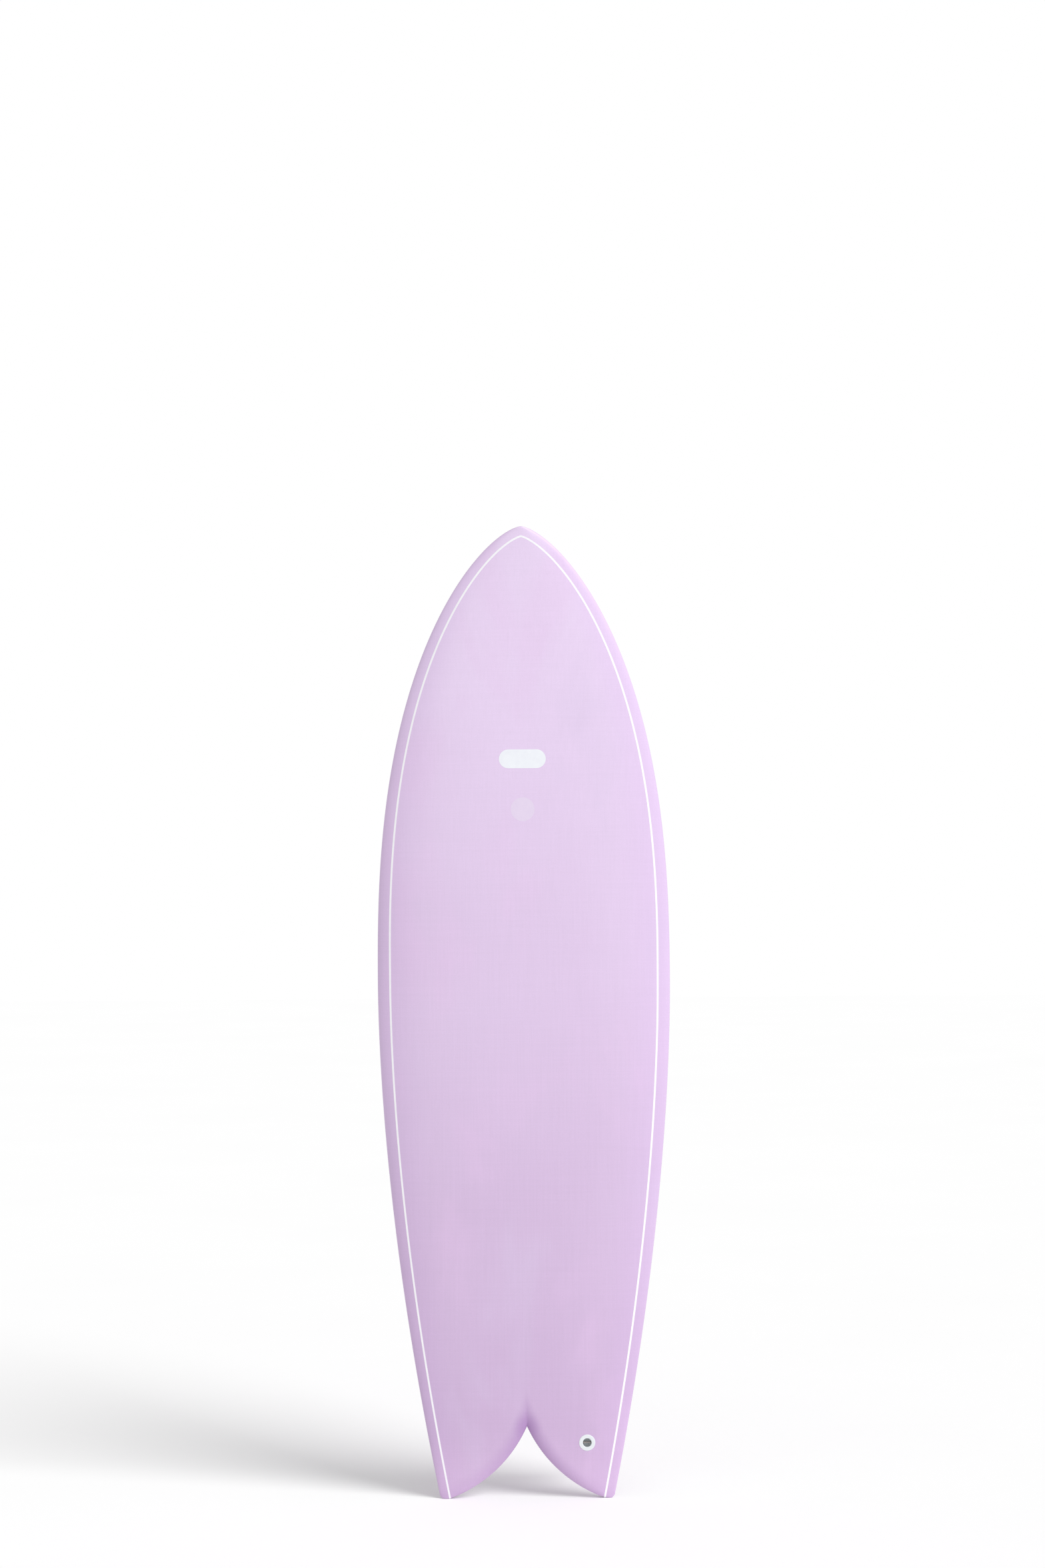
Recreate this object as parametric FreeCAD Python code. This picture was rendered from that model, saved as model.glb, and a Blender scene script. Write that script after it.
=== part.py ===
import FreeCAD, Part

# Swallow-tail twin-fin fish surfboard: foam core halves, stringer, laminate, pinline,
# leash plug, fin boxes and two removable fins, each as its own solid.
#
# The board stands upright on its two tail tips. +Z runs from the tail to the nose, the deck
# faces -Y, and the bottom, with the fins, faces +Y. Right is +X. Lengths are in millimetres.
# While the shapes are built, y = 0 is the flattest line of the bottom and z = 0 the tail tips.
# The last step moves every piece so that y = 0 is midway between the nose and the fin tips.

import math
import os

from FreeCAD import Placement, Rotation, Vector

# ---- outline, seen from the deck ----
LENGTH = 1753.0            # 5 ft 9 in
HALF_WIDTH = 265.7         # half of 20 7/8 in
WIDE_POINT = 930.0         # height of the widest place above the tail tips
NOSE_FULLNESS = 2.5        # exponents of the nose curve: the first fills its shoulders,
NOSE_BLUNTNESS = 1.5       # the second rounds its point
TAIL_HALF_WIDTH = 157.0
TAIL_CURVE = 1.78

# ---- swallow tail ----
NOTCH_DEPTH = 130.0        # from the tips up to the crotch
TIP_INNER_X = 141.0        # where the notch meets the end of each tip
NOTCH_RADIUS = 243.0       # each lobe bulges into the notch along this arc
FLARE = ((-58.0, 0.0), (-62.0, 4.0), (-68.0, 24.0))   # Y, and how far the notch has widened
                           # there, so that its deck edge is bevelled, steeply and then gently
TIP_CORNER = 4.0           # bevel of each tip's outer corner

# ---- rocker and thickness ----
FLAT_POINT = 820.0         # height at which the bottom is flattest
NOSE_ROCKER = 115.0
NOSE_ROCKER_CURVE = 2.6
TAIL_ROCKER = 50.0
TAIL_ROCKER_CURVE = 2.0
THICKNESS = 63.5           # 2 1/2 in at the wide point
NOSE_THICKNESS = 12.0
TAIL_THICKNESS = 18.0
THICKNESS_CURVE = 2.2

# ---- cross section ----
RAIL_APEX = 0.38           # height of the rail's edge, as a part of the thickness
CROWN_SPREAD = 2.6         # exponents of the deck's crown
CROWN_ROUND = 1.9
BOTTOM_SPREAD = 12.0       # exponents of the bottom, which is nearly flat
BOTTOM_ROUND = 2.0
SECTION_STATIONS = (0.3, 0.55, 0.75, 0.88, 0.95, 0.985)   # from the stringer to the rail

# ---- laminate and core ----
SKIN = 1.0                 # two layers of glass cloth in resin
NARROW = 50.0              # the skin thins where the nose is narrower than this half width
TIP_ROUND = 14.0           # half width at which the nose's thickness starts to round off
NOSE_CUT = 0.5             # the nose's point is sanded flat this far short of LENGTH
STRINGER = 4.0
TAIL_STATIONS = 6          # sections lofted from the tips to the wide point
NOSE_STATIONS = 12         # sections lofted from the wide point to the nose

# ---- pinline, which covers the edge of the bottom laminate's lap on the deck ----
PINLINE_WIDTH = 3.4
PINLINE_INSET = 23.0       # from the rail to the line's middle, at the wide point
PINLINE_NOSE_INSET = 18.0
PINLINE_TAIL_INSET = 17.0
PINLINE_STATIONS = 14

# ---- plain marks on the deck ----
PILL_LENGTH = 84.5
PILL_WIDTH = 34.0
PILL_HEIGHT = 1337.0       # of its middle, above the tail tips
DISC_RADIUS = 21.5
DISC_HEIGHT = 1246.0

# ---- leash plug ----
PLUG_X = 108.6
PLUG_HEIGHT = 100.5
FLANGE_RADIUS = 14.8
FLANGE_THICKNESS = 2.2
FLANGE_PROUD = 0.4
FLANGE_EDGE_ROUND = 0.3
CUP_RADIUS = 12.5
CUP_DEPTH = 16.0
MOUTH_RADIUS = 8.0
CAVITY_RADIUS = 9.6
CAVITY_DEPTH = 13.0
CAVITY_FILLET = 4.0
LIP = 2.0                  # depth of the narrower mouth
LEASH_PIN_RADIUS = 1.9
LEASH_PIN_LENGTH = 23.6
LEASH_PIN_DEPTH = 5.6
PLUG_INSERT_RADIUS = 24.0
PLUG_INSERT_DEPTH = 18.0

# ---- fin boxes, sunk in the bottom ----
FIN_HEIGHT_ON_BOARD = 228.0   # of the fin's middle, above the tail tips
FIN_X = 156.0
TOE_IN = 2.0               # degrees that the fin's front turns towards the stringer
CANT = 5.0                 # degrees that the fin's tip leans towards the rail
BOX_LENGTH = 122.0
BOX_WIDTH = 24.0
BOX_DEPTH = 15.5
BOX_INSERT_MARGIN = 9.0
TAB_LENGTH = 26.0
TAB_WIDTH = 6.6
TAB_DEPTH = 13.0
TAB_SPACING = 60.0
TAB_CLEARANCE = 0.3
TAB_CORNER = 3.0

# ---- grub screws that clamp the tabs ----
SCREW_RADIUS = 2.5
SCREW_TILT = 16.0          # degrees from the box's axis
SCREW_OFFSET = 8.2         # of the screw's axis at the box's face, towards the stringer
SCREW_START = 1.0          # depth of the screw's head below the face
SCREW_GAP = 0.1            # left between the screw's tip and the tab
SOCKET_RADIUS = 1.45
SOCKET_DEPTH = 3.0

# ---- fins ----
FIN_BASE = 146.0
FIN_SPAN = 122.0
FIN_RAKE = 66.0            # how far the tip trails behind the base's middle
FIN_RAKE_CURVE = 1.6
FIN_TAPER = 2.3            # exponents of the chord, from base to tip
FIN_TIP_ROUND = 1.7
FIN_THICKNESS = 7.2
FIN_TIP_THICKNESS = 3.0
FIN_EDGE = 0.9             # thickness of the trailing edge
FIN_GAP = 0.6              # between the bottom and the fin's root
FIN_SECTIONS = 9
FIN_TIP_CUT = 0.985        # the last section, as a part of the span
FOIL = ((0.08, 0.62), (0.36, 1.0), (0.72, 0.62))   # along the chord, and part of the thickness

SOCKET_SIDES = 6
SLOPE_STEP = 0.5           # slopes are measured this far to both sides
CLOSE = 1e-4               # how exactly a place is found
CLEAR = 1.0                # how far a cavity's tool stands out of its mouth
ABOVE_SURFACE = 12.0       # how far the plug's and boxes' cutting tools stand out of the board
BEYOND = 3.0               # how far the tail's cutting tools pass the tips
NOTCH_FOOT = 20.0          # how far the notch's tool reaches below the tips
FAR = 400.0                # half size of the cutting tools


def half_width(z):
    """Half the board's width at height z."""
    if z >= WIDE_POINT:
        along = min(1.0, (z - WIDE_POINT) / (LENGTH - WIDE_POINT))
        return HALF_WIDTH * (1.0 - along ** NOSE_FULLNESS) ** (1.0 / NOSE_BLUNTNESS)
    along = (WIDE_POINT - z) / WIDE_POINT
    return HALF_WIDTH - (HALF_WIDTH - TAIL_HALF_WIDTH) * along ** TAIL_CURVE


def rocker(z):
    """How far the bottom has risen towards the deck at height z."""
    if z >= FLAT_POINT:
        return NOSE_ROCKER * ((z - FLAT_POINT) / (LENGTH - FLAT_POINT)) ** NOSE_ROCKER_CURVE
    return TAIL_ROCKER * ((FLAT_POINT - z) / FLAT_POINT) ** TAIL_ROCKER_CURVE


def thickness(z):
    """The board's thickness at the stringer."""
    if z >= WIDE_POINT:
        along = (z - WIDE_POINT) / (LENGTH - WIDE_POINT)
        return THICKNESS - (THICKNESS - NOSE_THICKNESS) * along ** THICKNESS_CURVE
    along = (WIDE_POINT - z) / WIDE_POINT
    return THICKNESS - (THICKNESS - TAIL_THICKNESS) * along ** THICKNESS_CURVE


def apex_y(z):
    """Y of the rail's edge."""
    return -rocker(z) - RAIL_APEX * thickness(z)


def crown(across):
    """Deck height above the rail's edge, from 1 at the stringer to 0 at the rail."""
    return (1.0 - across ** CROWN_SPREAD) ** (1.0 / CROWN_ROUND)


def belly(across):
    """Bottom depth below the rail's edge, from 1 at the stringer to 0 at the rail."""
    return (1.0 - across ** BOTTOM_SPREAD) ** (1.0 / BOTTOM_ROUND)


def tip_rounding(width):
    """Thins the last of the nose so that its profile is round too."""
    if width >= TIP_ROUND:
        return 1.0
    return math.sqrt(1.0 - (1.0 - width / TIP_ROUND) ** 2)


def deck_y(x, z):
    """Y of the deck's surface."""
    return apex_y(z) - (1.0 - RAIL_APEX) * thickness(z) * crown(abs(x) / half_width(z))


def bottom_y(x, z):
    """Y of the bottom's surface."""
    return apex_y(z) + RAIL_APEX * thickness(z) * belly(abs(x) / half_width(z))


def section_wire(z, skin):
    """The closed outline of the board's cross section, or of the core inside a skin."""
    width = half_width(z) - skin * min(1.0, half_width(z) / NARROW)
    depth = (thickness(z) - 2.0 * skin) * tip_rounding(half_width(z))
    level = skin + z * (LENGTH - 2.0 * skin) / LENGTH
    edge = apex_y(z)
    deck = [Vector(s * width, edge - (1.0 - RAIL_APEX) * depth * crown(s), level)
            for s in SECTION_STATIONS]
    bottom = [Vector(s * width, edge + RAIL_APEX * depth * belly(s), level)
              for s in SECTION_STATIONS]
    points = [Vector(0.0, edge + RAIL_APEX * depth, level)]
    points += bottom
    points.append(Vector(width, edge, level))
    points += deck[::-1]
    points.append(Vector(0.0, edge - (1.0 - RAIL_APEX) * depth, level))
    points += [Vector(-p.x, p.y, p.z) for p in deck]
    points.append(Vector(-width, edge, level))
    points += [Vector(-p.x, p.y, p.z) for p in bottom[::-1]]
    curve = Part.BSplineCurve()
    curve.interpolate(Points=points, PeriodicFlag=True)
    return Part.Wire(curve.toShape())


def station_heights():
    """Heights of the lofted sections, closer together towards the nose's point."""
    tail = [WIDE_POINT * i / TAIL_STATIONS for i in range(TAIL_STATIONS)]
    nose = [WIDE_POINT + (LENGTH - WIDE_POINT) * math.sin(math.pi / 2.0 * i / NOSE_STATIONS)
            for i in range(NOSE_STATIONS)]
    return tail + nose + [LENGTH - NOSE_CUT]


def notch_wire(widening, y):
    """The notch's outline at one Y, with both arcs moved into their lobes by the widening."""
    chord = math.hypot(TIP_INNER_X, NOTCH_DEPTH)
    reach = math.sqrt(NOTCH_RADIUS ** 2 - (chord / 2.0) ** 2) + widening
    centre_x = TIP_INNER_X / 2.0 + reach * NOTCH_DEPTH / chord
    centre_z = NOTCH_DEPTH / 2.0 + reach * TIP_INNER_X / chord
    crotch = centre_z - math.sqrt(NOTCH_RADIUS ** 2 - centre_x ** 2)
    end_x = TAIL_HALF_WIDTH + ABOVE_SURFACE
    end_z = centre_z - math.sqrt(NOTCH_RADIUS ** 2 - (end_x - centre_x) ** 2)
    turn = (math.atan2(crotch - centre_z, -centre_x)
            + math.atan2(end_z - centre_z, end_x - centre_x)) / 2.0
    middle_x = centre_x + NOTCH_RADIUS * math.cos(turn)
    middle_z = centre_z + NOTCH_RADIUS * math.sin(turn)
    top = Vector(0.0, y, crotch)
    end = Vector(end_x, y, end_z)
    far_end = Vector(-end_x, y, end_z)
    foot = Vector(end_x, y, -NOTCH_FOOT)
    far_foot = Vector(-end_x, y, -NOTCH_FOOT)
    return Part.Wire([Part.Arc(top, Vector(middle_x, y, middle_z), end).toShape(),
                      Part.makeLine(end, foot),
                      Part.makeLine(foot, far_foot),
                      Part.makeLine(far_foot, far_end),
                      Part.Arc(far_end, Vector(-middle_x, y, middle_z), top).toShape()])


def notch_tool(skin):
    """The space between the two lobes, flared towards the deck, as one cutting tool."""
    straight = Part.Face(notch_wire(skin, -FAR)).extrude(Vector(0.0, 2.0 * FAR, 0.0))
    rims = [notch_wire(skin + widening, skin + y) for y, widening in FLARE]
    bevels = [Part.makeLoft([near, far], True, True) for near, far in zip(rims, rims[1:])]
    return straight.fuse(bevels)


def corner_tool(skin):
    """What the bevel takes off the right tip's outer corner."""
    corner = TAIL_HALF_WIDTH - skin
    points = [Vector(corner - TIP_CORNER - BEYOND, -FAR, skin - BEYOND),
              Vector(corner + BEYOND, -FAR, skin + TIP_CORNER + BEYOND),
              Vector(corner + BEYOND, -FAR, skin - BEYOND)]
    return Part.Face(Part.makePolygon(points + points[:1])).extrude(Vector(0.0, 2.0 * FAR, 0.0))


def board_solid(skin):
    """The whole board's outer shape, or the core inside a skin, with its swallow tail."""
    body = Part.makeLoft([section_wire(z, skin) for z in station_heights()], True)
    corner = corner_tool(skin)
    return body.cut(notch_tool(skin)).cut(corner).cut(mirrored(corner))


def mirrored(shape):
    """The same piece on the left of the stringer."""
    return shape.mirror(Vector(0.0, 0.0, 0.0), Vector(1.0, 0.0, 0.0))


def pinline_curve(offset):
    """Plan points of the right pinline's edge, offset towards the rail, from apex to tail."""
    def point(z):
        if z >= WIDE_POINT:
            along = (z - WIDE_POINT) / (LENGTH - WIDE_POINT)
            inset = PINLINE_INSET + (PINLINE_NOSE_INSET - PINLINE_INSET) * along
        else:
            along = (WIDE_POINT - z) / WIDE_POINT
            inset = PINLINE_INSET + (PINLINE_TAIL_INSET - PINLINE_INSET) * along ** TAIL_CURVE
        inset -= offset
        slope = (half_width(z + SLOPE_STEP) - half_width(z - SLOPE_STEP)) / (2.0 * SLOPE_STEP)
        length = math.hypot(1.0, slope)
        return half_width(z) - inset / length, z + inset * slope / length

    low = WIDE_POINT
    high = LENGTH - 2.0 * SLOPE_STEP
    while high - low > CLOSE:
        middle = (low + high) / 2.0
        if point(middle)[0] > 0.0:
            low = middle
        else:
            high = middle
    nose = [WIDE_POINT + (low - WIDE_POINT) * math.sin(math.pi / 2.0 * i / PINLINE_STATIONS)
            for i in range(PINLINE_STATIONS, 0, -1)]
    tail = [WIDE_POINT - (WIDE_POINT + 2.0 * BEYOND) * i / PINLINE_STATIONS
            for i in range(PINLINE_STATIONS + 1)]
    points = [point(z) for z in nose + tail]
    points[0] = (0.0, points[0][1])
    return points


def plan_prism(offset):
    """Everything inside the pinline, offset towards the rail, through the whole thickness."""
    right = [Vector(x, -FAR, z) for x, z in pinline_curve(offset)]
    left = [Vector(-p.x, p.y, p.z) for p in right]
    edges = []
    for points in (right, left[::-1]):
        curve = Part.BSplineCurve()
        curve.interpolate(Points=points)
        edges.append(curve.toShape())
    edges.insert(1, Part.makeLine(right[-1], left[-1]))
    return Part.Face(Part.Wire(edges)).extrude(Vector(0.0, 2.0 * FAR, 0.0))


def deck_side():
    """Everything on the deck's side of the rail's edge."""
    heights = [-BEYOND] + station_heights()[1:] + [LENGTH + BEYOND]
    points = [Vector(-FAR, apex_y(z), z) for z in heights]
    curve = Part.BSplineCurve()
    curve.interpolate(Points=points)
    low = Vector(-FAR, -FAR, points[0].z)
    high = Vector(-FAR, -FAR, points[-1].z)
    edges = [curve.toShape(),
             Part.makeLine(points[-1], high),
             Part.makeLine(high, low),
             Part.makeLine(low, points[0])]
    return Part.Face(Part.Wire(edges)).extrude(Vector(2.0 * FAR, 0.0, 0.0))


def slopes(surface, x, z):
    """How a surface's Y changes with X and with Z at one place."""
    over_x = surface(x + SLOPE_STEP, z) - surface(x - SLOPE_STEP, z)
    over_z = surface(x, z + SLOPE_STEP) - surface(x, z - SLOPE_STEP)
    return over_x / (2.0 * SLOPE_STEP), over_z / (2.0 * SLOPE_STEP)


def plug_placement():
    """Local +Z out of the deck at the leash plug, local X across the board."""
    slope_x, slope_z = slopes(deck_y, PLUG_X, PLUG_HEIGHT)
    outward = Vector(slope_x, -1.0, slope_z)
    turn = Rotation(Vector(1.0, 0.0, 0.0), Vector(), outward, "ZXY")
    return Placement(Vector(PLUG_X, deck_y(PLUG_X, PLUG_HEIGHT), PLUG_HEIGHT), turn)


def plug_envelope():
    """The leash plug's outer shape with its cavity filled."""
    flange = Part.makeCylinder(FLANGE_RADIUS, FLANGE_THICKNESS,
                               Vector(0.0, 0.0, FLANGE_PROUD - FLANGE_THICKNESS))
    flange = flange.makeFillet(FLANGE_EDGE_ROUND, [flange.Edges[0]])
    cup = Part.makeCylinder(CUP_RADIUS, CUP_DEPTH, Vector(0.0, 0.0, -CUP_DEPTH))
    return flange.fuse(cup).removeSplitter()


def leash_pin():
    """The steel pin that the leash's string goes round."""
    start = Vector(-LEASH_PIN_LENGTH / 2.0, 0.0, -LEASH_PIN_DEPTH)
    return Part.makeCylinder(LEASH_PIN_RADIUS, LEASH_PIN_LENGTH, start, Vector(1.0, 0.0, 0.0))


def leash_cup():
    """The plug: a flanged cup with a round-bottomed cavity under a narrower mouth."""
    cavity = Part.makeCylinder(CAVITY_RADIUS, CAVITY_DEPTH - LIP, Vector(0.0, 0.0, -CAVITY_DEPTH))
    bottom = [e for e in cavity.Edges if e.BoundBox.ZMax < CLOSE - CAVITY_DEPTH]
    cavity = cavity.makeFillet(CAVITY_FILLET, bottom)
    mouth = Part.makeCylinder(MOUTH_RADIUS, LIP + FLANGE_PROUD + CLEAR, Vector(0.0, 0.0, -LIP))
    return plug_envelope().cut(cavity.fuse(mouth)).cut(leash_pin())


def plug_insert():
    """The dense foam block round the leash plug, before the deck trims it."""
    return Part.makeCylinder(PLUG_INSERT_RADIUS, PLUG_INSERT_DEPTH + ABOVE_SURFACE,
                             Vector(0.0, 0.0, -PLUG_INSERT_DEPTH))


def fin_placement():
    """Local +Z out of the bottom along the fin, +Y towards the nose, +X towards the stringer."""
    slope = slopes(bottom_y, FIN_X, FIN_HEIGHT_ON_BOARD)[1]
    toe = math.radians(TOE_IN)
    chord = Vector(-math.sin(toe), slope, math.cos(toe))
    square = Vector(0.0, 1.0, -slope).normalize()
    outboard = square.cross(chord).normalize()
    cant = math.radians(CANT)
    along = square * math.cos(cant) + outboard * math.sin(cant)
    turn = Rotation(Vector(), chord, along, "YZX")
    return Placement(Vector(FIN_X, bottom_y(FIN_X, FIN_HEIGHT_ON_BOARD), FIN_HEIGHT_ON_BOARD), turn)


def slot_shape(length, width, low, high):
    """A block with round ends, standing along local Z."""
    radius = width / 2.0
    reach = length / 2.0 - radius
    corners = [Vector(radius, -reach, low), Vector(radius, reach, low),
               Vector(-radius, reach, low), Vector(-radius, -reach, low)]
    edges = [Part.makeLine(corners[0], corners[1]),
             Part.Arc(corners[1], Vector(0.0, length / 2.0, low), corners[2]).toShape(),
             Part.makeLine(corners[2], corners[3]),
             Part.Arc(corners[3], Vector(0.0, -length / 2.0, low), corners[0]).toShape()]
    return Part.Face(Part.Wire(edges)).extrude(Vector(0.0, 0.0, high - low))


def box_tool():
    """A fin box's outer shape, before the bottom trims it."""
    return slot_shape(BOX_LENGTH, BOX_WIDTH, -BOX_DEPTH, ABOVE_SURFACE)


def box_insert_tool():
    """The dense foam block round a fin box, before the bottom trims it."""
    margin = 2.0 * BOX_INSERT_MARGIN
    return slot_shape(BOX_LENGTH + margin, BOX_WIDTH + margin, -BOX_DEPTH - SKIN, ABOVE_SURFACE)


def tab(clearance, top):
    """One fin tab at the middle of the base, or the slot that takes it."""
    width = TAB_WIDTH + 2.0 * clearance
    length = TAB_LENGTH + 2.0 * clearance
    depth = TAB_DEPTH + clearance
    block = Part.makeBox(width, length, depth + top, Vector(-width / 2.0, -length / 2.0, -depth))
    ends = [e for e in block.Edges if e.BoundBox.ZMax < CLOSE - depth and e.BoundBox.YLength < CLOSE]
    return block.makeFillet(TAB_CORNER, ends)


def tab_places():
    """Where the two tabs stand along the base."""
    return [Vector(0.0, side * TAB_SPACING / 2.0, 0.0) for side in (-1.0, 1.0)]


def screw_axis():
    """Where a grub screw's axis meets the box's face, and its direction into the box."""
    tilt = math.radians(SCREW_TILT)
    return Vector(SCREW_OFFSET, 0.0, 0.0), Vector(-math.sin(tilt), 0.0, -math.cos(tilt))


def grub_screw():
    """One grub screw, whose tip stops just short of the tab."""
    face, inward = screw_axis()
    tilt = math.radians(SCREW_TILT)
    nearest = SCREW_OFFSET - SCREW_RADIUS * math.cos(tilt) - TAB_WIDTH / 2.0 - SCREW_GAP
    end = nearest / math.sin(tilt)
    head = face + inward * SCREW_START
    body = Part.makeCylinder(SCREW_RADIUS, end - SCREW_START, head, inward)
    turns = [2.0 * math.pi * i / SOCKET_SIDES for i in range(SOCKET_SIDES)]
    corners = [Vector(SOCKET_RADIUS * math.cos(turn), SOCKET_RADIUS * math.sin(turn), 0.0)
               for turn in turns + turns[:1]]
    socket = Part.Face(Part.makePolygon(corners)).extrude(Vector(0.0, 0.0, SOCKET_DEPTH))
    socket.Placement = Placement(head, Rotation(Vector(0.0, 0.0, 1.0), inward))
    return body.cut(socket)


def screw_hole():
    """The threaded hole of one grub screw, which breaks into the slot."""
    face, inward = screw_axis()
    start = face - inward * ABOVE_SURFACE
    return Part.makeCylinder(SCREW_RADIUS, ABOVE_SURFACE + TAB_DEPTH - SCREW_RADIUS, start, inward)


def foil_wire(level):
    """The fin's section at one height: flat towards the stringer, curved towards the rail."""
    along = level / FIN_SPAN
    chord = FIN_BASE * (1.0 - along ** FIN_TAPER) ** (1.0 / FIN_TIP_ROUND)
    middle = -FIN_RAKE * along ** FIN_RAKE_CURVE
    thinning = math.sqrt(chord / FIN_BASE)
    thick = (FIN_THICKNESS + (FIN_TIP_THICKNESS - FIN_THICKNESS) * along) * thinning
    edge = FIN_EDGE * thinning
    flat = TAB_WIDTH / 2.0
    front = middle + chord / 2.0
    base = FIN_GAP + level
    nose = Vector(flat, front, base)
    tail = Vector(flat, front - chord, base)
    rear_edge = Vector(flat - edge, front - chord, base)
    shape = [Vector(flat - part * thick, front - along_chord * chord, base)
             for along_chord, part in FOIL]
    curve = Part.BSplineCurve()
    curve.interpolate(Points=[nose] + shape + [rear_edge])
    return Part.Wire([curve.toShape(), Part.makeLine(rear_edge, tail), Part.makeLine(tail, nose)])


def fin():
    """A raked twin fin with two tabs."""
    levels = [FIN_SPAN * FIN_TIP_CUT * math.sin(math.pi / 2.0 * i / (FIN_SECTIONS - 1))
              for i in range(FIN_SECTIONS)]
    blade = Part.makeLoft([foil_wire(level) for level in levels], True)
    for place in tab_places():
        blade = blade.fuse(tab(0.0, FIN_GAP).translated(place))
    return blade.removeSplitter()


def pill_prism():
    """The plain mark with round ends, through the deck."""
    shape = slot_shape(PILL_LENGTH, PILL_WIDTH, -FAR, FAR)
    shape.rotate(Vector(), Vector(0.0, 0.0, 1.0), 90.0)
    shape.rotate(Vector(), Vector(1.0, 0.0, 0.0), 90.0)
    return shape.translated(Vector(0.0, 0.0, PILL_HEIGHT))


def disc_prism():
    """The plain round mark below it."""
    start = Vector(0.0, -FAR, DISC_HEIGHT)
    return Part.makeCylinder(DISC_RADIUS, 2.0 * FAR, start, Vector(0.0, 1.0, 0.0))


def slab(low_x, high_x):
    """Everything between two planes parallel to the stringer."""
    return Part.makeBox(high_x - low_x, 2.0 * FAR, LENGTH + 2.0 * BEYOND,
                        Vector(low_x, -FAR, -BEYOND))


def placed(shape, placement):
    """A copy of a shape built in a local frame, moved to its place on the board."""
    return shape.transformed(placement.toMatrix())


def both_sides(name, shape, pieces):
    """Adds a piece on the right and its mirror image on the left."""
    pieces[name + "_right"] = shape
    pieces[name + "_left"] = mirrored(shape)


def fin_pieces(outer, core, pieces):
    """Adds the fin boxes, their inserts, the grub screws and the fins on both sides."""
    place = fin_placement()
    box = placed(box_tool(), place).common(outer)
    screws = []
    for middle in tab_places():
        slot = tab(TAB_CLEARANCE, ABOVE_SURFACE).translated(middle)
        box = box.cut(placed(slot, place)).cut(placed(screw_hole().translated(middle), place))
        screws.append(placed(grub_screw().translated(middle), place))
    both_sides("fin_box", box, pieces)
    insert = placed(box_insert_tool(), place).common(core).cut(placed(box_tool(), place))
    both_sides("fin_box_insert", insert, pieces)
    both_sides("fin_screws", Part.makeCompound(screws), pieces)
    both_sides("fin", placed(fin(), place), pieces)


def plug_pieces(core, pieces):
    """Adds the leash plug, its pin and its insert."""
    place = plug_placement()
    pieces["leash_plug_cup"] = placed(leash_cup(), place)
    pieces["leash_pin"] = placed(leash_pin(), place)
    insert = placed(plug_insert(), place).common(core)
    pieces["leash_plug_insert"] = insert.cut(placed(plug_envelope(), place))


def foam_pieces(core, pieces):
    """Adds the two foam halves and the stringer, hollowed for the inserts."""
    hollows = [placed(box_insert_tool(), fin_placement())]
    hollows.append(mirrored(hollows[0]))
    hollows.append(placed(plug_insert(), plug_placement()))
    for hollow in hollows:
        core = core.cut(hollow)
    pieces["stringer"] = core.common(slab(-STRINGER / 2.0, STRINGER / 2.0))
    pieces["foam_core_right"] = core.common(slab(STRINGER / 2.0, FAR))
    pieces["foam_core_left"] = core.common(slab(-FAR, -STRINGER / 2.0))


def skin_pieces(outer, core, pieces):
    """Adds the laminate, the pinline and the two marks."""
    front = deck_side()
    inner = plan_prism(-PINLINE_WIDTH / 2.0)
    lapped = plan_prism(PINLINE_WIDTH / 2.0)
    line = lapped.cut(inner).common(slab(0.0, FAR)).common(front)
    both_sides("pinline", outer.common(line).cut(core), pieces)

    boxes = placed(box_tool(), fin_placement())
    bottom = outer.cut(lapped.common(front)).cut(core)
    pieces["bottom_glass"] = bottom.cut(boxes).cut(mirrored(boxes))

    deck = outer.common(inner.common(front)).cut(core).cut(placed(plug_envelope(), plug_placement()))
    pieces["deck_pill"] = deck.common(pill_prism())
    pieces["deck_disc"] = deck.common(disc_prism())
    pieces["deck_glass"] = deck.cut(pill_prism()).cut(disc_prism())


def main():
    outer = board_solid(0.0)
    core = board_solid(SKIN)
    pieces = {}
    foam_pieces(core, pieces)
    skin_pieces(outer, core, pieces)
    plug_pieces(core, pieces)
    fin_pieces(outer, core, pieces)
    whole = Part.makeCompound(list(pieces.values())).optimalBoundingBox()
    shift = Vector(0.0, -(whole.YMin + whole.YMax) / 2.0, -whole.ZMin)
    os.makedirs("parts", exist_ok=True)
    for name, shape in pieces.items():
        shape.translated(shift).exportStep("parts/" + name + ".step")


main()
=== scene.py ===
import math

import bmesh
import bpy
import numpy as np
from mathutils import Matrix, Vector


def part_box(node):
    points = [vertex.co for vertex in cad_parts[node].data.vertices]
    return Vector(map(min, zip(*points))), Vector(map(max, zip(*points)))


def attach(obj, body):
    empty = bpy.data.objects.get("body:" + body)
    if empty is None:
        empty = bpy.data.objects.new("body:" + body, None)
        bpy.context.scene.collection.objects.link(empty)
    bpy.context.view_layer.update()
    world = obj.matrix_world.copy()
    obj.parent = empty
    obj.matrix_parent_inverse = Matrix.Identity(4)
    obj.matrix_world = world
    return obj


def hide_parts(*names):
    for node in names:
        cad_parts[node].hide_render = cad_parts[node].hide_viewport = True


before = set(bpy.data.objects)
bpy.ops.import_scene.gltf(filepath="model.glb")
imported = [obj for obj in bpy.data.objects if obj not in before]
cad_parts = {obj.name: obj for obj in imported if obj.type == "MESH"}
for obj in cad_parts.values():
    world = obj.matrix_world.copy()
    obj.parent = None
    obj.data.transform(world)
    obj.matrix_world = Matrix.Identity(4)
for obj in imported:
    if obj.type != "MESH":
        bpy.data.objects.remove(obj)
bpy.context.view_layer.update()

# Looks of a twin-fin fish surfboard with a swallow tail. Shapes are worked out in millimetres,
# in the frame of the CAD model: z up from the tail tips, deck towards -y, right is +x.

MM = 0.001
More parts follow.
